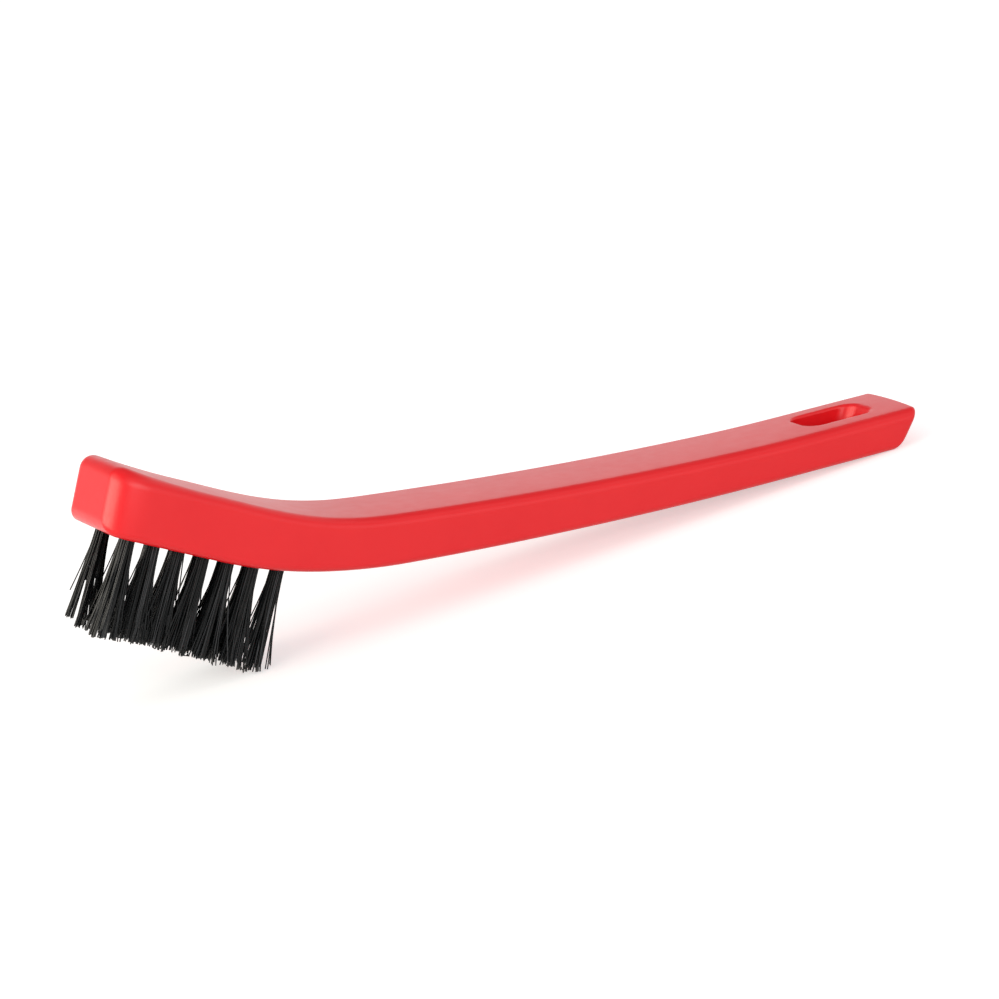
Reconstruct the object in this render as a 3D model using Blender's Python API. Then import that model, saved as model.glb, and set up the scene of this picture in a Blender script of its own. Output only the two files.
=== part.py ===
"""Wheel rim brush: a one-piece moulded handle, and staggered tufts of bristle that flat anchors hold.

Metres throughout. The brush is modelled in the head's frame: X runs along the head's flat underside from
its front to the tail, Y across it, and Z up from the underside. An empty then tilts the whole brush into
the pose in which it lies on a table, on its rear bristle tips and the heel of its tail.
"""

import math
import random

import bmesh
import bpy
from mathutils import Vector

# Underside of the handle, as tangent stretches from the head's front
HEAD_FLAT_LENGTH = 0.0365
BEND_RADIUS = 0.1450
BEND_TURN = math.radians(13.3)
SWEEP_RADIUS = 0.1985
SWEEP_TURN = math.radians(7.8)
GRIP_RADIUS = 1.6400
GRIP_LENGTH = 0.1282
TAIL_LENGTH = 0.0390

# Depth of the handle, square to its underside
NOSE_RISE = 0.0019
NOSE_LENGTH = 0.0300
HEAD_DEPTH = 0.01835
NECK_START = 0.0340
NECK_LENGTH = 0.0540
NECK_DEPTH = 0.0154
TAIL_DEPTH = 0.0116
TAPER_EASE = 0.0120

# Width of the handle
HEAD_WIDTH = 0.0336
GRIP_START = 0.1080
TAIL_WIDTH = 0.0309

# End faces, as leans away from square to the underside
FRONT_LEAN = math.radians(4.0)
FRONT_BLEND = 0.0200
TAIL_LEAN = math.radians(36.5)
TAIL_BLEND = 0.0260

# Crown of the top face, and rounded edges of the moulding
CROWN_RADIUS = 0.3000
LEAST_EDGE = 0.12
TOP_EDGE = 0.0032
LOWER_EDGE = 0.0022
FRONT_CORNER = 0.0070
FRONT_CORNER_RUN = 0.0110
FRONT_TOP_EDGE = 0.0047
FRONT_LOWER_EDGE = 0.0042
TAIL_CORNER = 0.0018
TAIL_TOP_EDGE = 0.0022
TAIL_HEEL = 0.0026

# Hanging slot, drawn square to the head's underside as the mould opens
SLOT_LENGTH = 0.0208
SLOT_WIDTH = 0.0144
SLOT_CORNER = 0.0044
SLOT_FROM_TAIL = 0.0105
SLOT_RIM = 0.0010
LIP_WIDTH = 1.15 * SLOT_RIM
LIP_DROP = -0.06 * SLOT_RIM

# Tuft pattern in the head
FIRST_TUFT = 0.0101
TUFT_PITCH = 0.0080
OUTER_ROW_TUFTS = 7
ROW_SPACING = 0.262 * HEAD_WIDTH
HOLE_DIAMETER = 0.0050
HOLE_DEPTH = 0.0100
DRILL_ANGLE = math.radians(118.0)

# Bristles
BRISTLE_LENGTH = 0.0289
STRAND_RADIUS = 0.00033
STRAND_GAP = 0.00014
INNER_RING = 0.52
TUFT_GAP = 0.00025
UNEVEN_TIPS = 0.0009
SPLAY = 0.00025
BEND_LEVEL = 0.45
BEND_FLARE = 0.33
BEND_WANDER = 0.30
PLUG_RECESS = 0.0006
FLOOR_CUT = 0.0005

# Anchors across the folds of the tufts
ANCHOR_THICKNESS = 0.0004
ANCHOR_WIDTH = 0.0018
ANCHOR_BITE = 0.00035
FOLD_THICKNESS = 0.0012

# Clearance between pieces that touch on the real brush
CLEARANCE = 0.0003

# Fineness of the meshes
RING_SPACING = 0.0060
EDGE_STEPS = 4
CROWN_STEPS = 4
END_STEPS = 8
HOLE_SIDES = 20
PLUG_SIDES = 12
STRAND_SIDES = 3
SLOT_CORNER_STEPS = 6
RIM_STEPS = 3
OVERSHOOT = 0.0020
HALVINGS = 40
SHARP_ANGLE = math.radians(35.0)
SEED = 7


def smooth_step(value):
    """Rise from 0 to 1 with level ends."""
    value = min(max(value, 0.0), 1.0)
    return value * value * (3.0 - 2.0 * value)


def handle_length():
    """Length of the handle along its underside, to the sharp heel."""
    return (HEAD_FLAT_LENGTH + BEND_RADIUS * BEND_TURN + SWEEP_RADIUS * SWEEP_TURN
            + GRIP_LENGTH + TAIL_LENGTH)


def underside(distance):
    """Point and slope of the underside at a distance along it from the front."""
    arcs = (
        (BEND_RADIUS * BEND_TURN, BEND_RADIUS),
        (SWEEP_RADIUS * SWEEP_TURN, SWEEP_RADIUS),
        (GRIP_LENGTH, GRIP_RADIUS),
    )
    straight = min(distance, HEAD_FLAT_LENGTH)
    point = Vector((straight, 0.0, 0.0))
    slope = 0.0
    left = distance - straight
    for length, radius in arcs:
        run = min(left, length)
        turned = slope + run / radius
        point.x += radius * (math.sin(turned) - math.sin(slope))
        point.z += radius * (math.cos(slope) - math.cos(turned))
        slope = turned
        left -= run
    point.x += left * math.cos(slope)
    point.z += left * math.sin(slope)
    return point, slope


def on_handle(distance, across, height):
    """Point of the handle at a distance along, an offset across and a height over the underside."""
    point, slope = underside(distance)
    return point + Vector((-height * math.sin(slope), across, height * math.cos(slope)))


def eased_run(past):
    """Run past the start of a taper, with the start eased over a length on both of its sides."""
    if past <= -TAPER_EASE:
        return 0.0
    if past >= TAPER_EASE:
        return past
    return (past + TAPER_EASE) ** 2 / (4 * TAPER_EASE)


def handle_depth(distance):
    """Depth of the middle: raised at the nose, even over the head, thinned at the neck, tapered to the tail."""
    nose = max(1.0 - distance / NOSE_LENGTH, 0.0)
    neck = smooth_step((distance - NECK_START) / NECK_LENGTH)
    grip_start = NECK_START + NECK_LENGTH
    grip_end = handle_length() - TAIL_LENGTH
    taper = (eased_run(distance - grip_start) - eased_run(distance - grip_end)) / (grip_end - grip_start)
    depth = HEAD_DEPTH + NOSE_RISE * nose ** 2
    depth -= (HEAD_DEPTH - NECK_DEPTH) * neck
    depth -= (NECK_DEPTH - TAIL_DEPTH) * taper
    return depth


def half_width(distance):
    """Half the width of the handle: even over the head and the bend, then tapered to the tail."""
    taper = max((distance - GRIP_START) / (handle_length() - GRIP_START), 0.0)
    return (HEAD_WIDTH - (HEAD_WIDTH - TAIL_WIDTH) * taper) / 2


def lean_at(distance):
    """Run of a section per height: forwards at the front face, backwards at the tail's face."""
    front = 1.0 - smooth_step(distance / FRONT_BLEND)
    tail = smooth_step(1.0 - (handle_length() - distance) / TAIL_BLEND)
    return tail * math.tan(TAIL_LEAN) - front * math.tan(FRONT_LEAN)


def drawn_in(radius, distance, run=None):
    """How far a rounded edge draws a side in, at a distance from the end face. A run makes the round longer."""
    reach = max(1.0 - distance / (run or radius), 0.0)
    return radius * (1.0 - math.sqrt(1.0 - reach ** 2))


def rounded_section(half, low, high, low_radius, high_radius):
    """Section as (across, height) pairs, anticlockwise from the lower right corner, with a crowned top."""
    low_reach = half - low_radius
    high_reach = half - high_radius
    low_centre = low + low_radius
    crown_centre = high - CROWN_RADIUS
    crown_turn = math.asin(high_reach / (CROWN_RADIUS - high_radius))
    high_centre = crown_centre + (CROWN_RADIUS - high_radius) * math.cos(crown_turn)
    quarter = math.pi / 2
    crown_step = 2 * crown_turn / CROWN_STEPS
    arcs = (
        (low_reach, low_centre, low_radius, -quarter, 0.0, EDGE_STEPS),
        (high_reach, high_centre, high_radius, 0.0, quarter - crown_turn, EDGE_STEPS),
        (0.0, crown_centre, CROWN_RADIUS, quarter - crown_turn + crown_step, quarter + crown_turn - crown_step,
         CROWN_STEPS - 2),
        (-high_reach, high_centre, high_radius, quarter + crown_turn, 2 * quarter, EDGE_STEPS),
        (-low_reach, low_centre, low_radius, 2 * quarter, 3 * quarter, EDGE_STEPS),
    )
    outline = []
    for across, height, radius, start, end, steps in arcs:
        for step in range(steps + 1):
            angle = start + (end - start) * step / steps
            outline.append((across + radius * math.cos(angle), height + radius * math.sin(angle)))
    return outline


def handle_section(distance):
    """Points of the handle's section, leaning with the end faces and drawn in at their edges. Its own edges
    tighten where the front's edges take over."""
    to_tail = handle_length() - distance
    front_trim = drawn_in(FRONT_CORNER, distance, FRONT_CORNER_RUN)
    half = half_width(distance) - front_trim - drawn_in(TAIL_CORNER, to_tail)
    front_low = drawn_in(FRONT_LOWER_EDGE, distance)
    front_top = drawn_in(FRONT_TOP_EDGE, distance)
    low = front_low + drawn_in(TAIL_HEEL, to_tail)
    high = handle_depth(distance) - front_top - drawn_in(TAIL_TOP_EDGE, to_tail)
    low_radius = LOWER_EDGE * max(1.0 - front_low / FRONT_LOWER_EDGE, LEAST_EDGE)
    high_radius = TOP_EDGE * max(1.0 - front_top / FRONT_TOP_EDGE, LEAST_EDGE)
    lean = lean_at(distance)
    return [on_handle(distance + lean * height, across, height)
            for across, height in rounded_section(half, low, high, low_radius, high_radius)]


def rounded_steps(radius):
    """Distances from an end face that follow the turn of its largest rounded edge."""
    return [radius * (1.0 - math.cos(math.radians(90 * step / END_STEPS))) for step in range(END_STEPS + 1)]


def section_distances():
    """Distances along the underside at which the handle has a section."""
    length = handle_length()
    front = rounded_steps(FRONT_CORNER_RUN)
    tail = [length - step for step in reversed(rounded_steps(TAIL_HEEL))]
    count = round((tail[0] - front[-1]) / RING_SPACING)
    spacing = (tail[0] - front[-1]) / count
    return front + [front[-1] + spacing * step for step in range(1, count)] + tail


def add_loop(mesh, points):
    """Vertices of one closed loop."""
    return [mesh.verts.new(point) for point in points]


def join_loops(mesh, first, second):
    """Side faces between two loops with as many points."""
    count = len(first)
    for index in range(count):
        following = (index + 1) % count
        mesh.faces.new((first[index], first[following], second[following], second[index]))


def join_to_point(mesh, loop, point):
    """Fan of faces from a loop to one vertex."""
    count = len(loop)
    for index in range(count):
        mesh.faces.new((loop[index], loop[(index + 1) % count], point))


def stack_loops(mesh, loops):
    """Closed body from a stack of loops of points."""
    rings = [add_loop(mesh, points) for points in loops]
    for first, second in zip(rings, rings[1:]):
        join_loops(mesh, first, second)
    mesh.faces.new(reversed(rings[0]))
    mesh.faces.new(rings[-1])


def circle(centre, radius, height, sides, turn=0.0):
    """Points of a level circle about a centre, starting on the tail's side."""
    return [Vector((centre[0] + radius * math.cos(turn + math.tau * step / sides),
                    centre[1] + radius * math.sin(turn + math.tau * step / sides), height))
            for step in range(sides)]


def add_object(name, mesh, parent, material=None, location=(0.0, 0.0, 0.0)):
    """Object of a bmesh, placed in its parent's frame."""
    bmesh.ops.recalc_face_normals(mesh, faces=mesh.faces)
    data = bpy.data.meshes.new(name)
    mesh.to_mesh(data)
    mesh.free()
    if material:
        data.materials.append(material)
    return place(name, data, parent, location)


def place(name, data, parent, location):
    """Object of a mesh in its parent's frame, with round sides shaded smooth."""
    data.shade_smooth()
    data.set_sharp_from_angle(angle=SHARP_ANGLE)
    piece = bpy.data.objects.new(name, data)
    bpy.context.collection.objects.link(piece)
    piece.parent = parent
    piece.location = location
    return piece


def cut(piece, cutter):
    """Boolean difference that takes a cutter out of a piece."""
    modifier = piece.modifiers.new("cut_" + cutter.name, "BOOLEAN")
    modifier.operation = "DIFFERENCE"
    modifier.solver = "EXACT"
    modifier.object = cutter
    cutter.hide_render = True
    cutter.display_type = "WIRE"


def principled(name, colour, roughness, metallic=0.0):
    """Principled material with one colour, roughness and metallic value."""
    material = bpy.data.materials.new(name)
    material.use_nodes = True
    shader = material.node_tree.nodes["Principled BSDF"]
    shader.inputs["Base Color"].default_value = (*colour, 1.0)
    shader.inputs["Roughness"].default_value = roughness
    shader.inputs["Metallic"].default_value = metallic
    material.diffuse_color = (*colour, 1.0)
    return material


def tuft_centres():
    """Centres of the tufts across and along the head: two outer rows and a staggered middle row."""
    rows = (
        (-ROW_SPACING, 0.0, OUTER_ROW_TUFTS),
        (0.0, TUFT_PITCH / 2, OUTER_ROW_TUFTS - 1),
        (ROW_SPACING, 0.0, OUTER_ROW_TUFTS),
    )
    return [(FIRST_TUFT + offset + TUFT_PITCH * step, across)
            for across, offset, count in rows for step in range(count)]


def underside_height(along):
    """Height of the underside over the head's flat at a place along the head."""
    low, high = 0.0, handle_length()
    for _ in range(HALVINGS):
        middle = (low + high) / 2
        if underside(middle)[0].x < along:
            low = middle
        else:
            high = middle
    return underside(low)[0].z


def plug_radius():
    """Radius of the folded bundle, which fills its hole but for the clearance."""
    return HOLE_DIAMETER / 2 - CLEARANCE


def cone_height(radius):
    """Height of the drill's point over the edge of a hole of one radius."""
    return radius / math.tan(DRILL_ANGLE / 2)


def anchor_height():
    """Height of an anchor's middle: it lies under the fold at the bottom of the hole."""
    return HOLE_DEPTH - FOLD_THICKNESS - CLEARANCE - ANCHOR_WIDTH / 2


def anchor_length():
    """Length of an anchor, whose ends bite into both walls of the hole."""
    return HOLE_DIAMETER + 2 * ANCHOR_BITE


def strand_places():
    """Strands of a bundle as (radius, angle): one in the middle and two rings round it."""
    outer = plug_radius() - STRAND_RADIUS - STRAND_GAP
    rings = ((0.0, 1), (outer * INNER_RING, 6), (outer, 12))
    return [(radius, math.tau * step / count) for radius, count in rings for step in range(count)]


def tip_spread():
    """How far a bundle widens: until the tips of neighbouring tufts nearly meet."""
    nearest = min(TUFT_PITCH, math.hypot(TUFT_PITCH / 2, ROW_SPACING))
    widest = nearest / 2 - TUFT_GAP - STRAND_RADIUS - SPLAY
    return widest / (plug_radius() - STRAND_RADIUS - STRAND_GAP)


def rear_tip():
    """Tip of the rearmost strand, where the brush meets the table."""
    last = FIRST_TUFT + TUFT_PITCH * (OUTER_ROW_TUFTS - 1)
    reach = max(radius for radius, _ in strand_places()) * tip_spread()
    return Vector((last + reach, 0.0, FLOOR_CUT - BRISTLE_LENGTH))


def table_slope(handle):
    """Slope of the table in the head's frame: it touches the rear tip and the tail's heel."""
    tip = rear_tip()
    return min(math.atan2(vertex.co.z - tip.z, vertex.co.x - tip.x)
               for vertex in handle.data.vertices if vertex.co.x > tip.x)


def table_height(along, slope):
    """Height of the table under a place along the head."""
    tip = rear_tip()
    return tip.z + (along - tip.x) * math.tan(slope)


def strand_loops(place_in_bundle, top, centre_x, slope, chance):
    """Three-sided loops of one strand: at its root, part way down and at its tip."""
    radius, angle = place_in_bundle
    rests = math.isclose(math.cos(angle), 1.0) and radius > 0.0
    splay = 0.0 if rests else SPLAY
    heading = chance.uniform(0.0, math.tau)
    shorter = 0.0 if rests else chance.uniform(0.0, UNEVEN_TIPS)
    tip = -BRISTLE_LENGTH + shorter
    widening = tip_spread() - 1.0
    bend = top + BEND_LEVEL * (tip - top)
    levels = ((top, 0.0, 0.0), (bend, BEND_FLARE, BEND_WANDER), (tip, 1.0, 1.0))
    loops = []
    for height, share, wander in levels:
        reach = radius * (1.0 + widening * share)
        centre = (reach * math.cos(angle) + wander * splay * math.cos(heading),
                  reach * math.sin(angle) + wander * splay * math.sin(heading))
        loops.append(circle(centre, STRAND_RADIUS, height, STRAND_SIDES, angle))
    for point in loops[-1]:
        point.z = max(point.z, table_height(centre_x + point.x, slope))
    return loops


def loop_edges(mesh, loop):
    """Edges between the vertices of a loop."""
    return [mesh.edges.get((loop[index - 1], loop[index])) for index in range(len(loop))]


def tuft_mesh(centre_x, slope, chance):
    """Bundle of strands, fused at their roots to the folded plug that fills the blind hole."""
    mesh = bmesh.new()
    low = underside_height(centre_x) + PLUG_RECESS
    radius = plug_radius()
    offset = CLEARANCE / math.sin(DRILL_ANGLE / 2)
    shoulder = HOLE_DEPTH + cone_height(CLEARANCE) - offset
    crown_radius = radius / 3
    crown = HOLE_DEPTH + cone_height(HOLE_DIAMETER / 2 - crown_radius) - offset
    profile = ((radius, low), (radius, shoulder), (crown_radius, crown))
    rings = [add_loop(mesh, circle((0.0, 0.0), ring_radius, height, PLUG_SIDES))
             for ring_radius, height in profile]
    join_loops(mesh, rings[0], rings[1])
    join_loops(mesh, rings[1], rings[2])
    mesh.faces.new(rings[2])
    open_edges = loop_edges(mesh, rings[0])
    for place_in_bundle in strand_places():
        loops = [add_loop(mesh, points)
                 for points in strand_loops(place_in_bundle, low, centre_x, slope, chance)]
        join_loops(mesh, loops[1], loops[0])
        join_loops(mesh, loops[2], loops[1])
        mesh.faces.new(reversed(loops[2]))
        open_edges += loop_edges(mesh, loops[0])
    bmesh.ops.triangle_fill(mesh, use_beauty=True, use_dissolve=False, edges=open_edges)
    return mesh


def box_mesh(mesh, centre, size):
    """Closed box about a centre."""
    half = Vector(size) / 2
    loops = []
    for height in (-half.z, half.z):
        corners = ((-half.x, -half.y), (half.x, -half.y), (half.x, half.y), (-half.x, half.y))
        loops.append([Vector(centre) + Vector((x, y, height)) for x, y in corners])
    stack_loops(mesh, loops)


def make_handle(frame, material):
    """The moulding, lofted through its sections from the front face to the tail."""
    mesh = bmesh.new()
    stack_loops(mesh, [handle_section(distance) for distance in section_distances()])
    return add_object("handle", mesh, frame, material)


def make_tuft_holes(frame):
    """Cutter of the drilled blind holes, each with the cone of the drill's point."""
    mesh = bmesh.new()
    radius = HOLE_DIAMETER / 2
    for centre in tuft_centres():
        rings = [add_loop(mesh, circle(centre, radius, height, HOLE_SIDES))
                 for height in (-OVERSHOOT, HOLE_DEPTH)]
        join_loops(mesh, rings[0], rings[1])
        mesh.faces.new(reversed(rings[0]))
        point = mesh.verts.new((centre[0], centre[1], HOLE_DEPTH + cone_height(radius)))
        join_to_point(mesh, rings[1], point)
    return add_object("tuft_holes", mesh, frame)


def make_anchor_seats(frame):
    """Cutter of the seats that the anchors press through the folds and into the walls of the holes."""
    mesh = bmesh.new()
    size = (
        ANCHOR_THICKNESS + 2 * CLEARANCE,
        anchor_length() + 2 * CLEARANCE,
        ANCHOR_WIDTH + 2 * CLEARANCE,
    )
    for along, across in tuft_centres():
        box_mesh(mesh, (along, across, anchor_height()), size)
    return add_object("anchor_seats", mesh, frame)


def slot_outline(offset):
    """Plan of the hanging slot, a rectangle with rounded corners, widened by an offset."""
    radius = SLOT_CORNER + offset
    reach = SLOT_LENGTH / 2 - SLOT_CORNER
    spread = SLOT_WIDTH / 2 - SLOT_CORNER
    outline = []
    for end, side, start in ((1, -1, -90), (1, 1, 0), (-1, 1, 90), (-1, -1, 180)):
        for step in range(SLOT_CORNER_STEPS + 1):
            angle = math.radians(start + 90 * step / SLOT_CORNER_STEPS)
            outline.append((end * reach + radius * math.cos(angle), side * spread + radius * math.sin(angle)))
    return outline


def face_height(along, height_of):
    """Height in the head's frame of the middle of a tail face, over a place along the head."""
    near, far = (on_handle(distance, 0.0, height_of(distance))
                 for distance in (handle_length() - TAIL_LENGTH, handle_length()))
    return near.z + (along - near.x) * (far.z - near.z) / (far.x - near.x)


def lower_face(along, across):
    """Height of the tail's flat lower face."""
    return face_height(along, lambda distance: 0.0)


def top_face(along, across):
    """Height of the tail's top face, which the crown lowers to both sides."""
    fall = CROWN_RADIUS - math.sqrt(CROWN_RADIUS ** 2 - across ** 2)
    slope = underside(handle_length())[1]
    return face_height(along, handle_depth) - fall / math.cos(slope)


def slot_loop(offset, drop, face):
    """Loop of the slot's wall at a drop from one of the tail's faces."""
    length = handle_length()
    top_end = on_handle(length + lean_at(length) * TAIL_DEPTH, 0.0, TAIL_DEPTH)
    centre_x = top_end.x - SLOT_FROM_TAIL - SLOT_LENGTH / 2
    return [Vector((centre_x + x, y, face(centre_x + x, y) + drop)) for x, y in slot_outline(offset)]


def make_slot(frame):
    """Cutter of the hanging slot, flared at both faces by its rounded rims."""
    steps = [math.radians(90 * step / RIM_STEPS) for step in range(1, RIM_STEPS + 1)]
    rim = [(SLOT_RIM * (1.0 - math.sin(angle)), SLOT_RIM * (1.0 - math.cos(angle))) for angle in steps]
    lip = (LIP_WIDTH, LIP_DROP)
    loops = [slot_loop(LIP_WIDTH, -OVERSHOOT, lower_face)]
    loops += [slot_loop(offset, depth, lower_face) for offset, depth in (lip, *rim)]
    loops += [slot_loop(offset, -depth, top_face) for offset, depth in (*reversed(rim), lip)]
    loops.append(slot_loop(LIP_WIDTH, OVERSHOOT, top_face))
    mesh = bmesh.new()
    stack_loops(mesh, loops)
    return add_object("hanging_slot", mesh, frame)


def make_tufts(frame, material, seats, slope):
    """The tufts, each with its own scatter of tips and the seat of its anchor cut through it."""
    tufts = []
    for number, (along, across) in enumerate(tuft_centres(), start=1):
        mesh = tuft_mesh(along, slope, random.Random(SEED + number))
        tuft = add_object("tuft_%02d" % number, mesh, frame, material, (along, across, 0.0))
        cut(tuft, seats)
        tufts.append(tuft)
    return tufts


def make_anchors(frame, material):
    """The flat anchors, one across the fold of each tuft."""
    mesh = bmesh.new()
    box_mesh(mesh, (0.0, 0.0, 0.0), (ANCHOR_THICKNESS, anchor_length(), ANCHOR_WIDTH))
    bmesh.ops.recalc_face_normals(mesh, faces=mesh.faces)
    data = bpy.data.meshes.new("anchor")
    mesh.to_mesh(data)
    mesh.free()
    data.materials.append(material)
    return [place("anchor_%02d" % number, data, frame, (along, across, anchor_height()))
            for number, (along, across) in enumerate(tuft_centres(), start=1)]


def lay_on_table(frame, slope, pieces):
    """Tilt the brush onto the table, with the middle of its footprint at the origin."""
    frame.rotation_euler = (0.0, slope, 0.0)
    bpy.context.view_layer.update()
    points = [piece.matrix_world @ vertex.co for piece in pieces for vertex in piece.data.vertices]
    lowest = Vector([min(point[axis] for point in points) for axis in range(3)])
    highest = Vector([max(point[axis] for point in points) for axis in range(3)])
    middle = (lowest + highest) / 2
    frame.location = (-middle.x, -middle.y, -lowest.z)


def build():
    """The whole brush."""
    for leftover in list(bpy.data.objects):
        bpy.data.objects.remove(leftover)
    frame = bpy.data.objects.new("head_frame", None)
    bpy.context.collection.objects.link(frame)
    red = principled("red_plastic", (0.80, 0.030, 0.034), 0.32)
    black = principled("black_bristle", (0.012, 0.012, 0.013), 0.45)
    steel = principled("anchor_steel", (0.60, 0.58, 0.55), 0.35, metallic=1.0)
    handle = make_handle(frame, red)
    slope = table_slope(handle)
    seats = make_anchor_seats(frame)
    for cutter in (make_tuft_holes(frame), seats, make_slot(frame)):
        cut(handle, cutter)
    tufts = make_tufts(frame, black, seats, slope)
    anchors = make_anchors(frame, steel)
    lay_on_table(frame, slope, [handle, *tufts, *anchors])


build()
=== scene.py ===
import math
import random

import bmesh
import bpy
from mathutils import Matrix, Vector


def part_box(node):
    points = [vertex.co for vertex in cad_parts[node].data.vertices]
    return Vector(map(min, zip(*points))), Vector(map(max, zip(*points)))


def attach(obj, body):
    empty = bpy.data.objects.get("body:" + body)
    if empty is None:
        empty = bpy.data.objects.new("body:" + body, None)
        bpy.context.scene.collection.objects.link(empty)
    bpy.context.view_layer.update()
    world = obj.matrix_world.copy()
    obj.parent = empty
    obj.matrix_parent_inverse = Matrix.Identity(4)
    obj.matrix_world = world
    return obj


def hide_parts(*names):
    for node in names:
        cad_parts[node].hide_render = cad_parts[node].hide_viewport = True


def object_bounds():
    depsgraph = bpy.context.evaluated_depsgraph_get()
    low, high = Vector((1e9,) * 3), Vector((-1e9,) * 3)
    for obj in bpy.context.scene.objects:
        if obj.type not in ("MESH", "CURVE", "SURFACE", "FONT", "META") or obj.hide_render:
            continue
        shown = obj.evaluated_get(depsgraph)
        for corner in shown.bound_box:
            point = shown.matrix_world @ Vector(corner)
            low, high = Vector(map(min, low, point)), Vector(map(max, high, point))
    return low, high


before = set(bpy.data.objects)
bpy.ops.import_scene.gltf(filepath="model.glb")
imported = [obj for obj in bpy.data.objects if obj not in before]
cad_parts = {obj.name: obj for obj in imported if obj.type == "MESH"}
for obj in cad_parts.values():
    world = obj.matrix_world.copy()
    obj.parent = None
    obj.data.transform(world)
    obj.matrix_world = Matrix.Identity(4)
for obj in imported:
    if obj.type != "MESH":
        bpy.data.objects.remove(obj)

cad_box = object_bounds()

# The moulding and the filaments are modelled in the head's frame, in metres: X runs along the head's flat
# underside from its front to the tail, Y across it, and Z up from it. The anchors say where that frame lies.

# Camera of the photograph
CAMERA_PLACE = (-0.61987, -1.36834, 0.47743)
CAMERA_TURN = (72.788, 11.272, -27.859)
CAMERA_LENS = 192.68

# Underside of the handle, as tangent stretches from the head's front
HEAD_FLAT_LENGTH = 0.0365
BEND_RADIUS = 0.1450
BEND_TURN = math.radians(13.3)
SWEEP_RADIUS = 0.1985
SWEEP_TURN = math.radians(7.8)
GRIP_RADIUS = 1.6400
GRIP_LENGTH = 0.1282
TAIL_LENGTH = 0.0390

# Depth of the handle, square to its underside
NOSE_RISE = 0.0019
NOSE_LENGTH = 0.0300
HEAD_DEPTH = 0.01835
NECK_START = 0.0340
NECK_LENGTH = 0.0540
NECK_DEPTH = 0.0154
TAIL_DEPTH = 0.0116
TAPER_EASE = 0.0120

# Width of the handle
HEAD_WIDTH = 0.0336
GRIP_START = 0.1080
TAIL_WIDTH = 0.0309

# End faces, as leans away from square to the underside
FRONT_LEAN = math.radians(4.0)
FRONT_BLEND = 0.0200
TAIL_LEAN = math.radians(36.5)
TAIL_BLEND = 0.0260

# Crown of the top face, and rounded edges of the moulding
CROWN_RADIUS = 0.3000
LEAST_EDGE = 0.12
TOP_EDGE = 0.0032
NOSE_TOP_EDGE = 0.0054
LOWER_EDGE = 0.0022
FRONT_CORNER = 0.0070
FRONT_CORNER_RUN = 0.0110
FRONT_TOP_EDGE = 0.0047
FRONT_LOWER_EDGE = 0.0042
TAIL_CORNER = 0.0018
TAIL_TOP_EDGE = 0.0022
TAIL_HEEL = 0.0026

# Hanging slot
SLOT_LENGTH = 0.0208
SLOT_WIDTH = 0.0144
SLOT_CORNER = 0.0044
SLOT_FROM_TAIL = 0.0105
SLOT_RIM = 0.0010
LIP_WIDTH = 1.08 * SLOT_RIM
LIP_DROP = -0.025 * SLOT_RIM

# Tuft pattern and drilled holes
FIRST_TUFT = 0.0101
TUFT_PITCH = 0.0080
OUTER_ROW_TUFTS = 7
ROW_SPACING = 0.262 * HEAD_WIDTH
HOLE_DIAMETER = 0.0050
HOLE_DEPTH = 0.0100
DRILL_ANGLE = math.radians(118.0)
OVERSHOOT = 0.0020

# Anchors across the folds
ANCHOR_THICKNESS = 0.0004
ANCHOR_WIDTH = 0.0018
ANCHOR_HEIGHT = 0.0076

# Filaments, each folded over its anchor, with both legs hanging from the hole
FOLDS_PER_TUFT = 42
FILAMENT_RADIUS = 0.00019
FILAMENT_SIDES = 5
BRISTLE_LENGTH = 0.0297
UNEVEN_CLUMPS = 0.0026
UNEVEN_TIPS = 0.0010
FRONT_FLARE = 1.50
REAR_FLARE = 0.80
FLARE_POWER = 1.20
CLUMPS = 8
CLUMP_SCATTER = 0.3
CLUMP_PLACES = (0.55, 0.80)
CLUMP_PULL = 0.55
CLUMP_BEND = 0.00080
SINGLE_BEND = 0.00075
STRAY_SHARE = 0.08
STRAY_REACH = 0.0050
LEAST_STRAY = 0.2
SHORT_SHARE = 0.06
SHORTEST = 0.45
HOOKED_SHARE = 0.05
HOOK_REACH = 0.0013
HOOK = ((0.35, -0.25), (0.80, -0.10), (1.0, 0.35))
LEG_STEPS = 8
FOLD_STEPS = 4
FOLD_GAP = 0.00006
FOLD_RISE = 0.0011
PACKING = 0.00028
BOX_CLEARANCE = 0.00040
FITTING_TRIES = 30
FITTING_CUT = 0.00040
FITTING_PULL = 0.9
SEED = 11

# Fineness of the meshes
RING_SPACING = 0.0016
EDGE_STEPS = 9
CROWN_STEPS = 14
END_STEPS = 18
CAP_RINGS = (0.96, 0.70, 0.40, 0.15)
HOLE_SIDES = 40
SLOT_CORNER_STEPS = 14
SLOT_SIDE_STEPS = 8
RIM_STEPS = 8
SHARP_ANGLE = math.radians(35.0)

# Middle span of a noise, over which a material goes from one value to the other
NOISE_SPAN = (0.3, 0.7)

# Red plastic, with each noise as scale per metre and detail, and each bump as strength and depth
RED_COLOURS = ((0.77, 0.007, 0.012), (0.80, 0.010, 0.015))
RED_ROUGHNESS = (0.30, 0.34)
RED_IOR = 1.44
FLOW_NOISE = (55.0, 3.0)
FLOW_BUMP = (0.03, 0.0004)
PATCH_NOISE = (260.0, 4.0)
GRAIN_NOISE = (2400.0, 1.0)
GRAIN_BUMP = (0.015, 0.00003)

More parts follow.
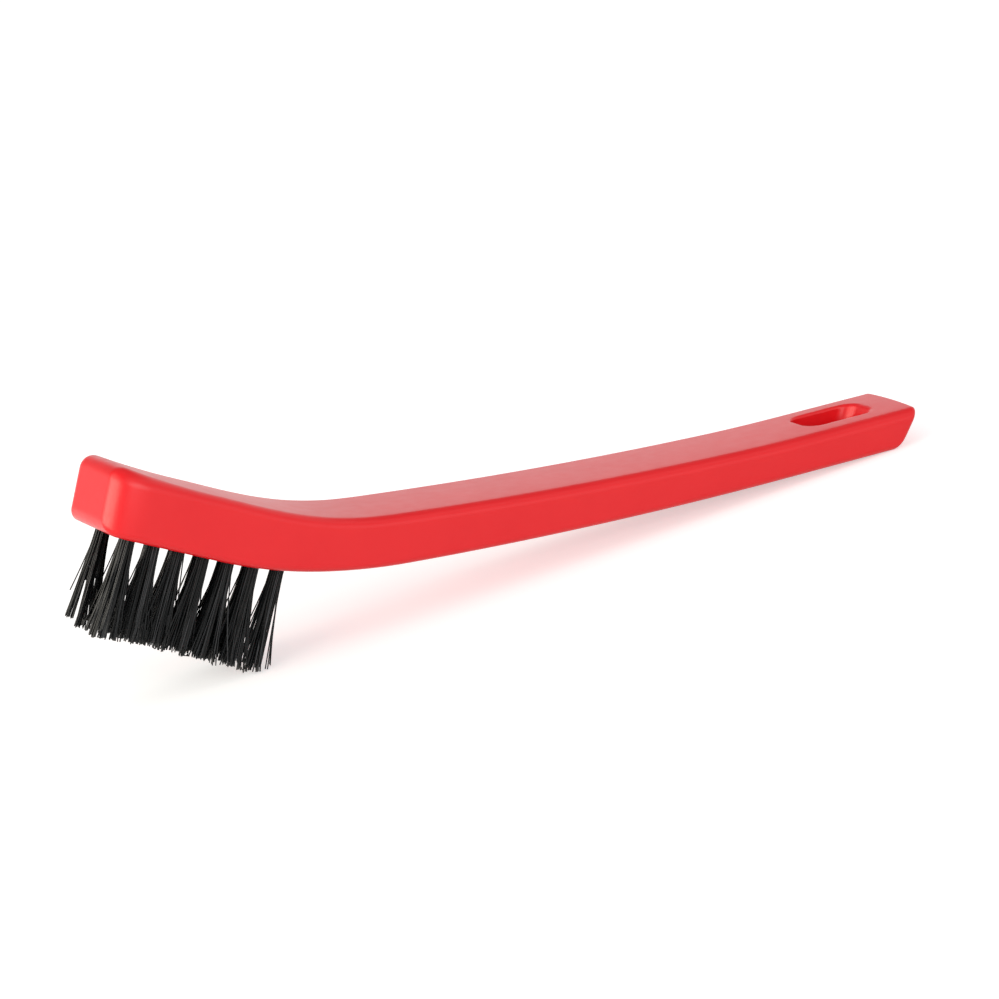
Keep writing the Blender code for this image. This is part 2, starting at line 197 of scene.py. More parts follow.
# Black bristle, darker and lighter from filament to filament, its lightest filaments painted highlight lines,
# with streaks along its length
BRISTLE_TONES_AND_PAINTED_HIGHLIGHTS = ((0.0, (0.003, 0.003, 0.003)), (0.65, (0.008, 0.009, 0.010)), (1.0, (0.058, 0.060, 0.064)))
BLACK_ROUGHNESS = (0.20, 0.38)
BLACK_SPECULAR = 0.21
STREAK_NOISE = (2600.0, 2.0)
STREAK_STRETCH = (1.0, 1.0, 0.15)
STREAK_BUMP = (0.25, 0.00002)

# Steel of the anchors, with lines from drawing the wire
STEEL_COLOURS = ((0.48, 0.46, 0.43), (0.64, 0.62, 0.59))
STEEL_ROUGHNESS = (0.28, 0.45)
DRAWN_NOISE = (9000.0, 3.0)
DRAWN_STRETCH = (1.0, 0.08, 1.0)
DRAWN_BUMP = (0.2, 0.00002)

# Floor of the studio
FLOOR_SIZE = 12.0
FLOOR_LEVEL = -0.00002
FLOOR_COLOUR = (0.80, 0.80, 0.80, 1.0)
FLOOR_GLOW = 0.49

# Plain light of the room, by the height that it comes from, and its strength from the near and the far side
ROOM_LIGHT = ((0.0, 0.46), (0.5, 0.52), (1.0, 0.68))
NEAR_SIDE_LIGHT = 1.15
FAR_SIDE_LIGHT = 1.00

# The room where it is seen, as in gloss: its brightness by the share of the way to the middle of its ceiling,
# the shade of its walls ahead of the head, and a bright patch on them
CEILING = (-0.12, 0.30, 0.946)
ROOM_SEEN = ((0.0, 1.60), (0.12, 0.80), (0.27, 0.80), (0.36, 1.25), (0.42, 1.45), (0.51, 1.10), (0.65, 0.28),
             (1.0, 0.28))
SHADY_WALL = 0.60
SHADY_SIDE = (-0.35, 0.10)
BRIGHT_PATCH = (-0.930, 0.040, 0.365)
BRIGHT_EDGE = (0.62, 0.97)
BRIGHT_COLOUR = (1.0, 0.95, 0.86, 1.0)
BRIGHT_GLOW = 4.3

# Soft lamps, each with its place, its width and height, its power and its colour
LAMPS = {
    "left_softbox": ((-1.30, -0.06, 0.48), (1.45, 0.75), 11.0, (1.0, 0.92, 0.74)),
    "near_softbox": ((-0.02, -1.75, 0.70), (1.3, 0.8), 10.6, (1.0, 1.0, 1.0)),
}
LAMP_TARGET = Vector((-0.05, 0.0, 0.04))


def smooth_step(value):
    """Rise from 0 to 1 with level ends."""
    value = min(max(value, 0.0), 1.0)
    return value * value * (3.0 - 2.0 * value)


def head_frame():
    """Matrix from the head's frame to the row frame, from the first and the last anchor of the near row."""
    first, last = (sum(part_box(name), Vector()) / 2 for name in ("anchor_01", "anchor_%02d" % OUTER_ROW_TUFTS))
    slope = math.atan2(first.z - last.z, last.x - first.x)
    turn = Matrix.Rotation(slope, 4, "Y")
    place = first - turn @ Vector((FIRST_TUFT, -ROW_SPACING, ANCHOR_HEIGHT))
    return Matrix.Translation(place) @ turn


HEAD = head_frame()


def handle_length():
    """Length of the handle along its underside, to the sharp heel."""
    return (HEAD_FLAT_LENGTH + BEND_RADIUS * BEND_TURN + SWEEP_RADIUS * SWEEP_TURN
            + GRIP_LENGTH + TAIL_LENGTH)


def underside(distance):
    """Point and slope of the underside at a distance along it from the front."""
    arcs = (
        (BEND_RADIUS * BEND_TURN, BEND_RADIUS),
        (SWEEP_RADIUS * SWEEP_TURN, SWEEP_RADIUS),
        (GRIP_LENGTH, GRIP_RADIUS),
    )
    straight = min(distance, HEAD_FLAT_LENGTH)
    point = Vector((straight, 0.0, 0.0))
    slope = 0.0
    left = distance - straight
    for length, radius in arcs:
        run = min(left, length)
        turned = slope + run / radius
        point.x += radius * (math.sin(turned) - math.sin(slope))
        point.z += radius * (math.cos(slope) - math.cos(turned))
        slope = turned
        left -= run
    point.x += left * math.cos(slope)
    point.z += left * math.sin(slope)
    return point, slope


def on_handle(distance, across, height):
    """Point of the handle at a distance along, an offset across and a height over the underside."""
    point, slope = underside(distance)
    return point + Vector((-height * math.sin(slope), across, height * math.cos(slope)))


def eased_run(past):
    """Run past the start of a taper, with the start eased over a length on both of its sides."""
    if past <= -TAPER_EASE:
        return 0.0
    if past >= TAPER_EASE:
        return past
    return (past + TAPER_EASE) ** 2 / (4 * TAPER_EASE)


def nose_share(distance):
    """Share of what is special at the nose: all of it at the front, eased out along the nose."""
    return max(1.0 - distance / NOSE_LENGTH, 0.0) ** 2


def handle_depth(distance):
    """Depth of the middle: raised at the nose, thinned at the neck, and tapered along the grip."""
    neck = smooth_step((distance - NECK_START) / NECK_LENGTH)
    grip_start = NECK_START + NECK_LENGTH
    grip_end = handle_length() - TAIL_LENGTH
    taper = (eased_run(distance - grip_start) - eased_run(distance - grip_end)) / (grip_end - grip_start)
    depth = HEAD_DEPTH + NOSE_RISE * nose_share(distance)
    depth -= (HEAD_DEPTH - NECK_DEPTH) * neck
    depth -= (NECK_DEPTH - TAIL_DEPTH) * taper
    return depth


def half_width(distance):
    """Half the width of the handle: even over the head and the bend, then tapered to the tail."""
    taper = max((distance - GRIP_START) / (handle_length() - GRIP_START), 0.0)
    return (HEAD_WIDTH - (HEAD_WIDTH - TAIL_WIDTH) * taper) / 2


def lean_at(distance):
    """Run of a section per height: forwards at the front face, backwards at the tail's face."""
    front = 1.0 - smooth_step(distance / FRONT_BLEND)
    tail = smooth_step(1.0 - (handle_length() - distance) / TAIL_BLEND)
    return tail * math.tan(TAIL_LEAN) - front * math.tan(FRONT_LEAN)


def drawn_in(radius, distance, run=None):
    """How far a rounded edge draws a side in at a distance from the end face. A run makes it longer."""
    reach = max(1.0 - distance / (run or radius), 0.0)
    return radius * (1.0 - math.sqrt(1.0 - reach ** 2))


def rounded_section(half, low, high, low_radius, high_radius):
    """Section as (across, height) pairs, anticlockwise from the lower right corner, with a crowned top."""
    low_reach = half - low_radius
    high_reach = half - high_radius
    low_centre = low + low_radius
    crown_centre = high - CROWN_RADIUS
    crown_turn = math.asin(high_reach / (CROWN_RADIUS - high_radius))
    high_centre = crown_centre + (CROWN_RADIUS - high_radius) * math.cos(crown_turn)
    quarter = math.pi / 2
    crown_step = 2 * crown_turn / CROWN_STEPS
    crown_start = quarter - crown_turn + crown_step
    crown_end = quarter + crown_turn - crown_step
    arcs = (
        (low_reach, low_centre, low_radius, -quarter, 0.0, EDGE_STEPS),
        (high_reach, high_centre, high_radius, 0.0, quarter - crown_turn, EDGE_STEPS),
        (0.0, crown_centre, CROWN_RADIUS, crown_start, crown_end, CROWN_STEPS - 2),
        (-high_reach, high_centre, high_radius, quarter + crown_turn, 2 * quarter, EDGE_STEPS),
        (-low_reach, low_centre, low_radius, 2 * quarter, 3 * quarter, EDGE_STEPS),
    )
    outline = []
    for across, height, radius, start, end, steps in arcs:
        for step in range(steps + 1):
            angle = start + (end - start) * step / steps
            outline.append((across + radius * math.cos(angle), height + radius * math.sin(angle)))
    return outline


def handle_section(distance):
    """Points of the handle's section, leaning with the end faces and drawn in at their edges. Its own edges
    tighten where the front's edges take over."""
    to_tail = handle_length() - distance
    front_trim = drawn_in(FRONT_CORNER, distance, FRONT_CORNER_RUN)
    half = half_width(distance) - front_trim - drawn_in(TAIL_CORNER, to_tail)
    front_low = drawn_in(FRONT_LOWER_EDGE, distance)
    front_top = drawn_in(FRONT_TOP_EDGE, distance)
    low = front_low + drawn_in(TAIL_HEEL, to_tail)
    high = handle_depth(distance) - front_top - drawn_in(TAIL_TOP_EDGE, to_tail)
    low_radius = LOWER_EDGE * max(1.0 - front_low / FRONT_LOWER_EDGE, LEAST_EDGE)
    top_edge = TOP_EDGE + (NOSE_TOP_EDGE - TOP_EDGE) * nose_share(distance)
    high_radius = top_edge * max(1.0 - front_top / FRONT_TOP_EDGE, LEAST_EDGE)
    lean = lean_at(distance)
    return [on_handle(distance + lean * height, across, height)
            for across, height in rounded_section(half, low, high, low_radius, high_radius)]


def rounded_steps(radius):
    """Distances from an end face that follow the turn of its largest rounded edge."""
    return [radius * (1.0 - math.cos(math.radians(90 * step / END_STEPS))) for step in range(END_STEPS + 1)]


def section_distances():
    """Distances along the underside at which the handle has a section."""
    length = handle_length()
    front = rounded_steps(FRONT_CORNER_RUN)
    tail = [length - step for step in reversed(rounded_steps(TAIL_HEEL))]
    count = round((tail[0] - front[-1]) / RING_SPACING)
    spacing = (tail[0] - front[-1]) / count
    return front + [front[-1] + spacing * step for step in range(1, count)] + tail


def join_loops(mesh, first, second):
    """Side faces between two loops with as many points."""
    count = len(first)
    for index in range(count):
        following = (index + 1) % count
        mesh.faces.new((first[index], first[following], second[following], second[index]))


def cap_loops(points):
    """Rings of an end face, drawn in step by step towards its middle."""
    middle = sum(points, Vector()) / len(points)
    return [[middle + (point - middle) * share for point in points] for share in CAP_RINGS]


def stack_loops(mesh, loops):
    """Closed body from a stack of loops of points."""
    rings = [[mesh.verts.new(point) for point in points] for points in loops]
    for first, second in zip(rings, rings[1:]):
        join_loops(mesh, first, second)
    mesh.faces.new(reversed(rings[0]))
    mesh.faces.new(rings[-1])


def circle(centre, radius, height, sides):
    """Points of a level circle about a centre."""
    return [Vector((centre[0] + radius * math.cos(math.tau * step / sides),
                    centre[1] + radius * math.sin(math.tau * step / sides), height))
            for step in range(sides)]


def object_of(name, mesh):
    """Object of a bmesh that is in the head's frame."""
    bmesh.ops.recalc_face_normals(mesh, faces=mesh.faces)
    data = bpy.data.meshes.new(name)
    mesh.to_mesh(data)
    mesh.free()
    data.transform(HEAD)
    smooth_rounds(data)
    return new_object(name, data)


def smooth_rounds(data):
    """Smooth shading of a mesh, apart from its sharp edges."""
    data.shade_smooth()
    data.set_sharp_from_angle(angle=SHARP_ANGLE)


def new_object(name, data):
    """Object of some data, linked to the scene."""
    item = bpy.data.objects.new(name, data)
    bpy.context.scene.collection.objects.link(item)
    return item


def tuft_centres():
    """Centres of the tufts along and across the head, in the order of the CAD nodes."""
    rows = (
        (-ROW_SPACING, 0.0, OUTER_ROW_TUFTS),
        (0.0, TUFT_PITCH / 2, OUTER_ROW_TUFTS - 1),
        (ROW_SPACING, 0.0, OUTER_ROW_TUFTS),
    )
    return [(FIRST_TUFT + offset + TUFT_PITCH * step, across)
            for across, offset, count in rows for step in range(count)]


def hole_cutter():
    """Cutter of the drilled blind holes, each with the cone of the drill's point."""
    mesh = bmesh.new()
    radius = HOLE_DIAMETER / 2
    for centre in tuft_centres():
        rings = [[mesh.verts.new(point) for point in circle(centre, radius, height, HOLE_SIDES)]
                 for height in (-OVERSHOOT, HOLE_DEPTH)]
        join_loops(mesh, rings[0], rings[1])
        mesh.faces.new(reversed(rings[0]))
        point = mesh.verts.new((centre[0], centre[1], HOLE_DEPTH + radius / math.tan(DRILL_ANGLE / 2)))
        for index in range(HOLE_SIDES):
            mesh.faces.new((rings[1][index], rings[1][(index + 1) % HOLE_SIDES], point))
    return object_of("hole_cutter", mesh)


def slot_outline(offset):
    """Plan of the hanging slot, a rectangle with rounded corners, widened by an offset."""
    radius = SLOT_CORNER + offset
    reach = SLOT_LENGTH / 2 - SLOT_CORNER
    spread = SLOT_WIDTH / 2 - SLOT_CORNER
    corners = ((1, -1, -90), (1, 1, 0), (-1, 1, 90), (-1, -1, 180))
    rounded = []
    for end, side, start in corners:
        for step in range(SLOT_CORNER_STEPS + 1):
            angle = math.radians(start + 90 * step / SLOT_CORNER_STEPS)
            rounded.append((end * reach + radius * math.cos(angle), side * spread + radius * math.sin(angle)))
    outline = []
    for index, (x, y) in enumerate(rounded):
        outline.append((x, y))
        if index % (SLOT_CORNER_STEPS + 1) == SLOT_CORNER_STEPS:
            to_x, to_y = rounded[(index + 1) % len(rounded)]
            for step in range(1, SLOT_SIDE_STEPS):
                share = step / SLOT_SIDE_STEPS
                outline.append((x + (to_x - x) * share, y + (to_y - y) * share))
    return outline


def face_height(along, height_of):
    """Height in the head's frame of the middle of a tail face, over a place along the head."""
    near, far = (on_handle(distance, 0.0, height_of(distance))
                 for distance in (handle_length() - TAIL_LENGTH, handle_length()))
    return near.z + (along - near.x) * (far.z - near.z) / (far.x - near.x)


def lower_face(along, across):
    """Height of the tail's lower face, which is the same all the way across."""
    return face_height(along, lambda distance: 0.0)


def top_face(along, across):
    """Height of the tail's top face, which the crown lowers to both sides."""
    fall = CROWN_RADIUS - math.sqrt(CROWN_RADIUS ** 2 - across ** 2)
    slope = underside(handle_length())[1]
    return face_height(along, handle_depth) - fall / math.cos(slope)


def slot_loop(offset, drop, face):
    """Loop of the slot's wall at a drop from one of the tail's faces."""
    length = handle_length()
    top_end = on_handle(length + lean_at(length) * TAIL_DEPTH, 0.0, TAIL_DEPTH)
    centre_x = top_end.x - SLOT_FROM_TAIL - SLOT_LENGTH / 2
    return [Vector((centre_x + x, y, face(centre_x + x, y) + drop)) for x, y in slot_outline(offset)]


def slot_cutter():
    """Cutter of the hanging slot, flared at both faces by its rounded rims."""
    steps = [math.radians(90 * step / RIM_STEPS) for step in range(1, RIM_STEPS + 1)]
    rim = [(SLOT_RIM * (1.0 - math.sin(angle)), SLOT_RIM * (1.0 - math.cos(angle))) for angle in steps]
    lip = (LIP_WIDTH, LIP_DROP)
    loops = [slot_loop(LIP_WIDTH, -OVERSHOOT, lower_face)]
    loops += [slot_loop(offset, depth, lower_face) for offset, depth in (lip, *rim)]
    loops += [slot_loop(offset, -depth, top_face) for offset, depth in (*reversed(rim), lip)]
    loops.append(slot_loop(LIP_WIDTH, OVERSHOOT, top_face))
    mesh = bmesh.new()
    stack_loops(mesh, loops)
    return object_of("slot_cutter", mesh)


def make_handle():
    """The moulding, lofted finely through its sections, with the tuft holes and the slot cut out of it."""
    sections = [handle_section(distance) for distance in section_distances()]
    loops = list(reversed(cap_loops(sections[0]))) + sections + cap_loops(sections[-1])
    mesh = bmesh.new()
    stack_loops(mesh, loops)
    handle = object_of("handle_moulding", mesh)
    for cutter in (hole_cutter(), slot_cutter()):
        modifier = handle.modifiers.new("cut", "BOOLEAN")
        modifier.operation = "DIFFERENCE"
        modifier.solver = "EXACT"
        modifier.object = cutter
        bpy.context.view_layer.update()
        shape = bpy.data.meshes.new_from_object(handle.evaluated_get(bpy.context.evaluated_depsgraph_get()))
        handle.modifiers.clear()
        handle.data = shape
        bpy.data.objects.remove(cutter)
    smooth_rounds(handle.data)
    return handle


def tube(verts, faces, path):
    """Round closed tube along a path that never runs across the head."""
    start = len(verts)
    last = len(path) - 1
    for index, point in enumerate(path):
        along = (path[min(index + 1, last)] - path[max(index - 1, 0)]).normalized()
        side = (Vector((0.0, 1.0, 0.0)) - along * along.y).normalized()
        other = along.cross(side)
        for step in range(FILAMENT_SIDES):
            angle = math.tau * step / FILAMENT_SIDES
            verts.append(point + FILAMENT_RADIUS * (math.cos(angle) * side + math.sin(angle) * other))
    for index in range(last):
        low = start + index * FILAMENT_SIDES
        for step in range(FILAMENT_SIDES):
            following = (step + 1) % FILAMENT_SIDES
            faces.append((low + step, low + following, low + FILAMENT_SIDES + following,
                          low + FILAMENT_SIDES + step))
    faces.append(tuple(range(start + FILAMENT_SIDES - 1, start - 1, -1)))
    top = start + last * FILAMENT_SIDES
    faces.append(tuple(range(top, top + FILAMENT_SIDES)))


def root_places():
    """Places of one side's filaments in a full hole, on a sunflower pattern."""
    reach = HOLE_DIAMETER / 2 - FILAMENT_RADIUS - PACKING
    golden = math.pi * (3.0 - math.sqrt(5.0))
    places = []
    count = 2 * FOLDS_PER_TUFT
    for index in range(count):
        radius = reach * math.sqrt((index + 0.5) / count)
        x = radius * math.cos(golden * index)
        if x > 0.0:
            places.append((x, radius * math.sin(golden * index)))
    return places


def make_clumps(chance):
    """Sub-bundles of a tuft: where each one gathers at the tips, and how it bends."""
    clumps = []
    reach = HOLE_DIAMETER / 2
    for number in range(CLUMPS):
        angle = math.tau * (number + chance.uniform(-CLUMP_SCATTER, CLUMP_SCATTER)) / (CLUMPS - 1)
        radius = reach * chance.uniform(*CLUMP_PLACES) if number else 0.0
        centre = Vector((radius * math.cos(angle), radius * math.sin(angle), 0.0))
        bend = Vector((chance.gauss(0.0, CLUMP_BEND), chance.gauss(0.0, CLUMP_BEND), 0.0))
        clumps.append((centre, bend, chance.uniform(0.0, UNEVEN_CLUMPS)))
    return clumps


def flare_at(along):
    """Spread of a tuft at its tips by its place along the head: wider at the front than at the rear."""
    to_rear = 1.0 - (along - FIRST_TUFT) / (TUFT_PITCH * (OUTER_ROW_TUFTS - 1))
    return REAR_FLARE + (FRONT_FLARE - REAR_FLARE) * to_rear ** 2


def leg_path(root, centre, clumps, chance):
    """Path of one leg from the hole's mouth to its tip, in the head's frame."""
    place = Vector((root[0], root[1], 0.0))
    gather, clump_bend, clump_short = min(clumps, key=lambda clump: (clump[0] - place).length)
    bend = clump_bend + Vector((chance.gauss(0.0, SINGLE_BEND), chance.gauss(0.0, SINGLE_BEND), 0.0))
    pull = (gather - place) * CLUMP_PULL
    spread = flare_at(centre[0]) * (place + pull) + pull
    if chance.random() < STRAY_SHARE:
        spread += place.normalized() * chance.uniform(LEAST_STRAY, 1.0) * STRAY_REACH
    length = BRISTLE_LENGTH - clump_short - chance.uniform(0.0, UNEVEN_TIPS)
    if chance.random() < SHORT_SHARE:
        length *= chance.uniform(SHORTEST, 1.0)
    angle = chance.uniform(0.0, math.tau)
    hook = []
    if chance.random() < HOOKED_SHARE:
        hook = [HOOK_REACH * Vector((side * math.cos(angle), side * math.sin(angle), rise))
                for side, rise in HOOK]
    mouth = place + Vector((centre[0], centre[1], 0.0))
    return fitted_leg(mouth, spread, bend, length, hook)


def leg_points(mouth, spread, bend, length, hook):
    """Points of a leg that spreads evenly, bends more towards its tip, and ends in an optional hook."""
    points = []
    for step in range(LEG_STEPS + 1):
        hang = step / LEG_STEPS * length
        run = hang / BRISTLE_LENGTH
        points.append(mouth + spread * run ** FLARE_POWER + bend * run ** 2 - Vector((0.0, 0.0, hang)))
    return points + [points[-1] + turn for turn in hook]


def fitted_leg(mouth, spread, bend, length, hook):
    """Points of a leg, shortened over the table, and drawn in before the front and the sides of the box."""
    for _ in range(FITTING_TRIES):
        points = leg_points(mouth, spread, bend, length, hook)
        tips = [HEAD @ point for point in points[LEG_STEPS:]]
        low = min(tip.z for tip in tips) < BOX_CLEARANCE
        outside = min(tip.x - cad_box[0].x for tip in tips) < BOX_CLEARANCE
        outside = outside or min(cad_box[1].y - abs(tip.y) for tip in tips) < BOX_CLEARANCE
        if not (low or outside):
            break
        if low:
            length -= FITTING_CUT
        if outside:
            spread, bend = spread * FITTING_PULL, bend * FITTING_PULL
    return points


def fold_path(left, right, centre):
    """Fold of a filament over its anchor, from the left leg's mouth to the right one's."""
    half = max(right[0], ANCHOR_THICKNESS / 2 + FILAMENT_RADIUS + FOLD_GAP)
    foot = ANCHOR_HEIGHT + ANCHOR_WIDTH / 2
    rise = FILAMENT_RADIUS + FOLD_GAP + FOLD_RISE * half / (HOLE_DIAMETER / 2)
    across = (left[1] + right[1]) / 2
    points = [Vector((-half, across, ANCHOR_HEIGHT - ANCHOR_WIDTH / 2))]
    for step in range(FOLD_STEPS + 1):
        angle = math.pi * (1.0 - step / FOLD_STEPS)
        points.append(Vector((half * math.cos(angle), across, foot + rise * math.sin(angle))))
    points.append(Vector((half, across, ANCHOR_HEIGHT - ANCHOR_WIDTH / 2)))
    return [Vector((centre[0], centre[1], 0.0)) + point for point in points]


def make_tuft(number, centre, material):
    """One tuft of filaments folded over its anchor."""
    chance = random.Random(SEED + number)
    clumps = make_clumps(chance)
    verts, faces = [], []
    for place in root_places():
        left, right = (-place[0], place[1]), place
        path = list(reversed(leg_path(left, centre, clumps, chance)))
        path += fold_path(left, right, centre)
        path += leg_path(right, centre, clumps, chance)
        tube(verts, faces, path)
    name = "bristles_%02d" % number
    data = bpy.data.meshes.new(name)
    data.from_pydata(verts, [], faces)
    data.transform(HEAD)
    smooth_rounds(data)
    data.materials.append(material)
    return new_object(name, data)


def new_material(name):
    """Empty node material, and its Principled shader."""
    material = bpy.data.materials.new(name)
    material.use_nodes = True
    return material, material.node_tree.nodes["Principled BSDF"]


def add_node(tree, kind, links=(), **values):
    """Node of a kind with input values by name, and links as (output, input name) pairs."""
    node = tree.nodes.new(kind)
    for name, value in values.items():
        node.inputs[name.replace("_", " ")].default_value = value
    for output, name in links:
        tree.links.new(output, node.inputs[name])
    return node


def noise(tree, place, scale, detail):
    """Noise over a place."""
    node = add_node(tree, "ShaderNodeTexNoise", [(place, "Vector")], Scale=scale, Detail=detail)
    return node.outputs["Fac"]


def ramp(tree, factor, stops):
    """Colour ramp with (position, colour) stops."""
    node = add_node(tree, "ShaderNodeValToRGB", [(factor, "Fac")])
    elements = node.color_ramp.elements
    elements[0].position, elements[0].color = stops[0][0], (*stops[0][1], 1.0)
    elements[1].position, elements[1].color = stops[-1][0], (*stops[-1][1], 1.0)
    for position, colour in stops[1:-1]:
        elements.new(position).color = (*colour, 1.0)
    return node.outputs["Color"]


def value_range(tree, value, source, target):
    """Value mapped from a source range onto a target range."""
    node = add_node(tree, "ShaderNodeMapRange", [(value, "Value")], From_Min=source[0], From_Max=source[1],
                    To_Min=target[0], To_Max=target[1])
    return node.outputs["Result"]


def bump(tree, height, strength, distance, normal=None):
    """Bump over an optional coarser bump."""
    links = [(height, "Height")]
    if normal:
        links.append((normal, "Normal"))
    return add_node(tree, "ShaderNodeBump", links, Strength=strength, Distance=distance).outputs["Normal"]


def object_place(tree, stretch=(1.0, 1.0, 1.0)):
    """Object coordinates in metres, stretched by a factor on each axis."""
    place = tree.nodes.new("ShaderNodeTexCoord").outputs["Object"]
    mapping = add_node(tree, "ShaderNodeMapping", [(place, "Vector")])
    mapping.inputs["Scale"].default_value = stretch
    return mapping.outputs["Vector"]


def red_plastic():
    """Glossy red moulding: faint flow marks, fine grain, and a slightly uneven gloss."""
    material, shader = new_material("red_plastic_moulded")
    tree = material.node_tree
    place = object_place(tree)
    flow = noise(tree, place, *FLOW_NOISE)
    tree.links.new(ramp(tree, flow, list(zip(NOISE_SPAN, RED_COLOURS))), shader.inputs["Base Color"])
    patches = noise(tree, place, *PATCH_NOISE)
    tree.links.new(value_range(tree, patches, NOISE_SPAN, RED_ROUGHNESS), shader.inputs["Roughness"])
    swell = bump(tree, flow, *FLOW_BUMP)
    grain = noise(tree, place, *GRAIN_NOISE)
    tree.links.new(bump(tree, grain, *GRAIN_BUMP, swell), shader.inputs["Normal"])
    shader.inputs["IOR"].default_value = RED_IOR
    return material


def black_bristle():
    """Near-black nylon filament, each one a little lighter or darker in tone, the lightest ones painted
    highlight lines, with a soft gloss.
    """
    material, shader = new_material("black_bristle_filament")
    tree = material.node_tree
    island = tree.nodes.new("ShaderNodeNewGeometry").outputs["Random Per Island"]
    # Random tone per filament; the ramp's top stop paints highlight lines onto the lightest filaments
    tree.links.new(ramp(tree, island, BRISTLE_TONES_AND_PAINTED_HIGHLIGHTS), shader.inputs["Base Color"])
    streaks = noise(tree, object_place(tree, STREAK_STRETCH), *STREAK_NOISE)
    tree.links.new(value_range(tree, streaks, NOISE_SPAN, BLACK_ROUGHNESS), shader.inputs["Roughness"])
    tree.links.new(bump(tree, streaks, *STREAK_BUMP), shader.inputs["Normal"])
    shader.inputs["Specular IOR Level"].default_value = BLACK_SPECULAR
    return material


def anchor_steel():
    """Bare steel wire, drawn along its length."""
    material, shader = new_material("anchor_steel_drawn")
    tree = material.node_tree
    lines = noise(tree, object_place(tree, DRAWN_STRETCH), *DRAWN_NOISE)
    tree.links.new(ramp(tree, lines, list(zip(NOISE_SPAN, STEEL_COLOURS))), shader.inputs["Base Color"])
    tree.links.new(value_range(tree, lines, NOISE_SPAN, STEEL_ROUGHNESS), shader.inputs["Roughness"])
    tree.links.new(bump(tree, lines, *DRAWN_BUMP), shader.inputs["Normal"])
    shader.inputs["Metallic"].default_value = 1.0
    return material


def where_seen(tree, lighting, seen):
    """Shader that lights the scene with one shader, and shows another to the rays that see it."""
    path = tree.nodes.new("ShaderNodeLightPath").outputs
    share = path["Is Camera Ray"]
    for kind in ("Is Glossy Ray", "Is Transmission Ray"):
        either = add_node(tree, "ShaderNodeMath", [(share, 0), (path[kind], 1)])
        either.operation = "MAXIMUM"
        share = either.outputs[0]
    return add_node(tree, "ShaderNodeMixShader", [(share, 0), (lighting, 1), (seen, 2)]).outputs[0]


def share_along(tree, place, direction):
    """How far a place reaches along a direction."""
    node = add_node(tree, "ShaderNodeVectorMath", [(place, 0)])
    node.operation = "DOT_PRODUCT"
    node.inputs[1].default_value = direction
    return node.outputs["Value"]


def make_floor():
    """Pale floor that looks white and keeps the brush's shadow."""
    data = bpy.data.meshes.new("floor")
    half = FLOOR_SIZE / 2
    corners = ((-half, -half), (half, -half), (half, half), (-half, half))
    data.from_pydata([(x, y, FLOOR_LEVEL) for x, y in corners], [], [(0, 1, 2, 3)])
    floor = new_object("floor", data)
    material, shader = new_material("pale_floor")
    tree = material.node_tree
    tree.nodes.remove(shader)
    paper = add_node(tree, "ShaderNodeBsdfDiffuse", Color=FLOOR_COLOUR).outputs[0]
    glow = add_node(tree, "ShaderNodeEmission", Strength=FLOOR_GLOW).outputs[0]
    white = add_node(tree, "ShaderNodeAddShader", [(paper, 0), (glow, 1)]).outputs[0]
    tree.links.new(where_seen(tree, paper, white), tree.nodes["Material Output"].inputs["Surface"])
    data.materials.append(material)


def grey_steps(levels):
    """Stops of a colour ramp from (position, level) pairs."""
    return [(place, (level, level, level)) for place, level in levels]


def seen_room(tree, direction, parts):
    """The room where it is seen: pale walls under a dark ceiling, shadier ahead of the head, and a bright patch
    on them."""
    walls = ramp(tree, share_along(tree, direction, CEILING), grey_steps(ROOM_SEEN))
    shade = value_range(tree, parts["X"], SHADY_SIDE, (SHADY_WALL, 1.0))
    room = add_node(tree, "ShaderNodeBackground", [(walls, "Color"), (shade, "Strength")]).outputs[0]
    glow = value_range(tree, share_along(tree, direction, BRIGHT_PATCH), BRIGHT_EDGE, (0.0, BRIGHT_GLOW))
    patch = add_node(tree, "ShaderNodeBackground", [(glow, "Strength")], Color=BRIGHT_COLOUR).outputs[0]
    return add_node(tree, "ShaderNodeAddShader", [(room, 0), (patch, 1)]).outputs[0]


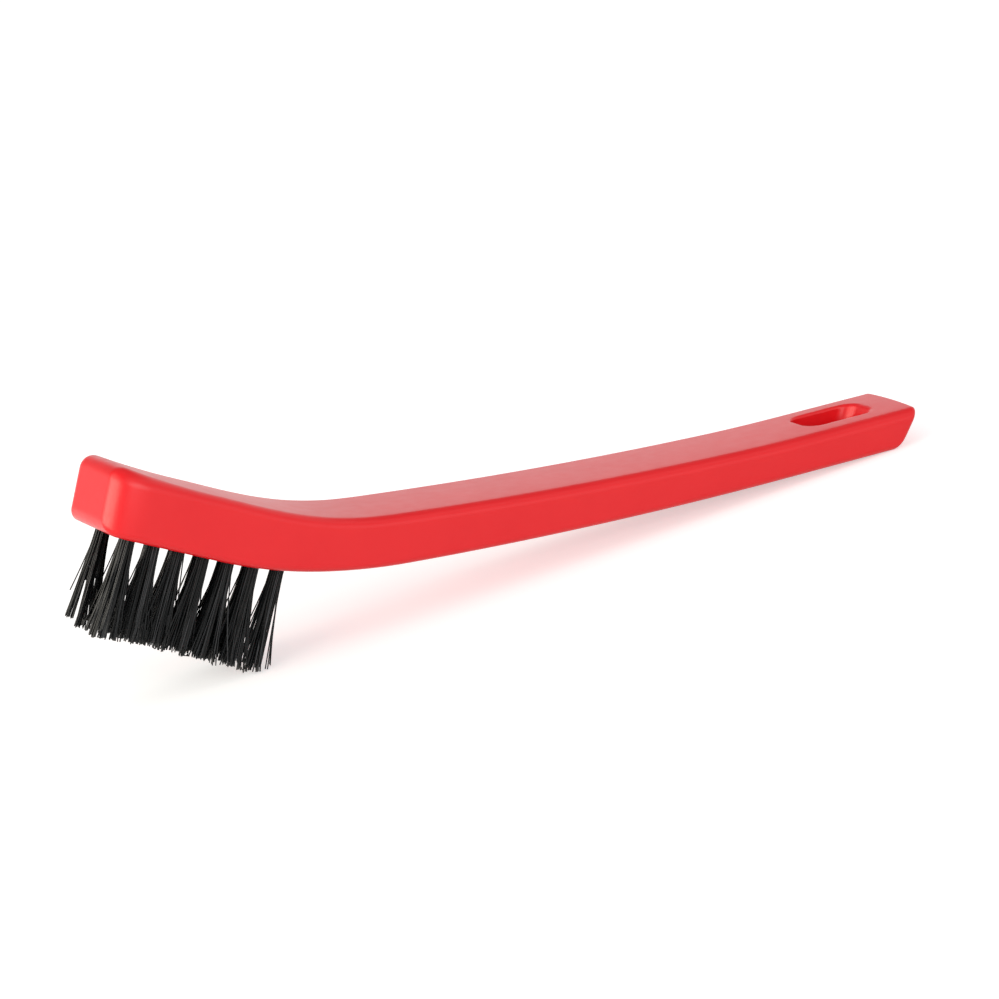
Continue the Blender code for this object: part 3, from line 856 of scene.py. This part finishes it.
def make_world():
    """Pale room, with plain light that is stronger from the near side."""
    world = bpy.data.worlds.new("studio")
    bpy.context.scene.world = world
    world.use_nodes = True
    tree = world.node_tree
    direction = tree.nodes.new("ShaderNodeTexCoord").outputs["Generated"]
    parts = add_node(tree, "ShaderNodeSeparateXYZ", [(direction, "Vector")]).outputs
    sides = value_range(tree, parts["Y"], (-1.0, 1.0), (NEAR_SIDE_LIGHT, FAR_SIDE_LIGHT))
    light = tree.nodes["Background"]
    tree.links.new(ramp(tree, parts["Z"], grey_steps(ROOM_LIGHT)), light.inputs["Color"])
    tree.links.new(sides, light.inputs["Strength"])
    room = where_seen(tree, light.outputs[0], seen_room(tree, direction, parts))
    tree.links.new(room, tree.nodes["World Output"].inputs["Surface"])


def add_lamp(name, place, size, power, colour):
    """Soft lamp of a width and a height at a place, turned to the brush."""
    data = bpy.data.lights.new(name, "AREA")
    data.shape = "RECTANGLE"
    data.size, data.size_y = size
    data.energy = power
    data.color = colour
    lamp = new_object(name, data)
    lamp.location = place
    lamp.rotation_euler = (LAMP_TARGET - lamp.location).to_track_quat("-Z", "Y").to_euler()


def make_camera():
    """The photograph's camera."""
    data = bpy.data.cameras.new("camera")
    data.lens = CAMERA_LENS
    camera = new_object("camera", data)
    camera.location = CAMERA_PLACE
    camera.rotation_euler = [math.radians(turn) for turn in CAMERA_TURN]
    bpy.context.scene.camera = camera


def dress_handle():
    """The fine moulding in place of the CAD handle."""
    handle = make_handle()
    handle.data.materials.clear()
    handle.data.materials.append(red_plastic())
    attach(handle, "root")
    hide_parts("handle")


def dress_tufts():
    """Filament tufts in place of the CAD ones."""
    black = black_bristle()
    for number, centre in enumerate(tuft_centres(), start=1):
        tuft = make_tuft(number, centre, black)
        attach(tuft, "root")
        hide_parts("tuft_%02d" % number)


def dress_anchors():
    """Drawn steel on the CAD anchors."""
    steel = anchor_steel()
    for name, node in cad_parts.items():
        if name.startswith("anchor_"):
            for slot in node.material_slots:
                slot.material = steel


make_camera()
dress_handle()
dress_tufts()
dress_anchors()
make_floor()
make_world()
for lamp_name, lamp_values in LAMPS.items():
    add_lamp(lamp_name, *lamp_values)
bpy.context.scene.view_settings.view_transform = "Standard"
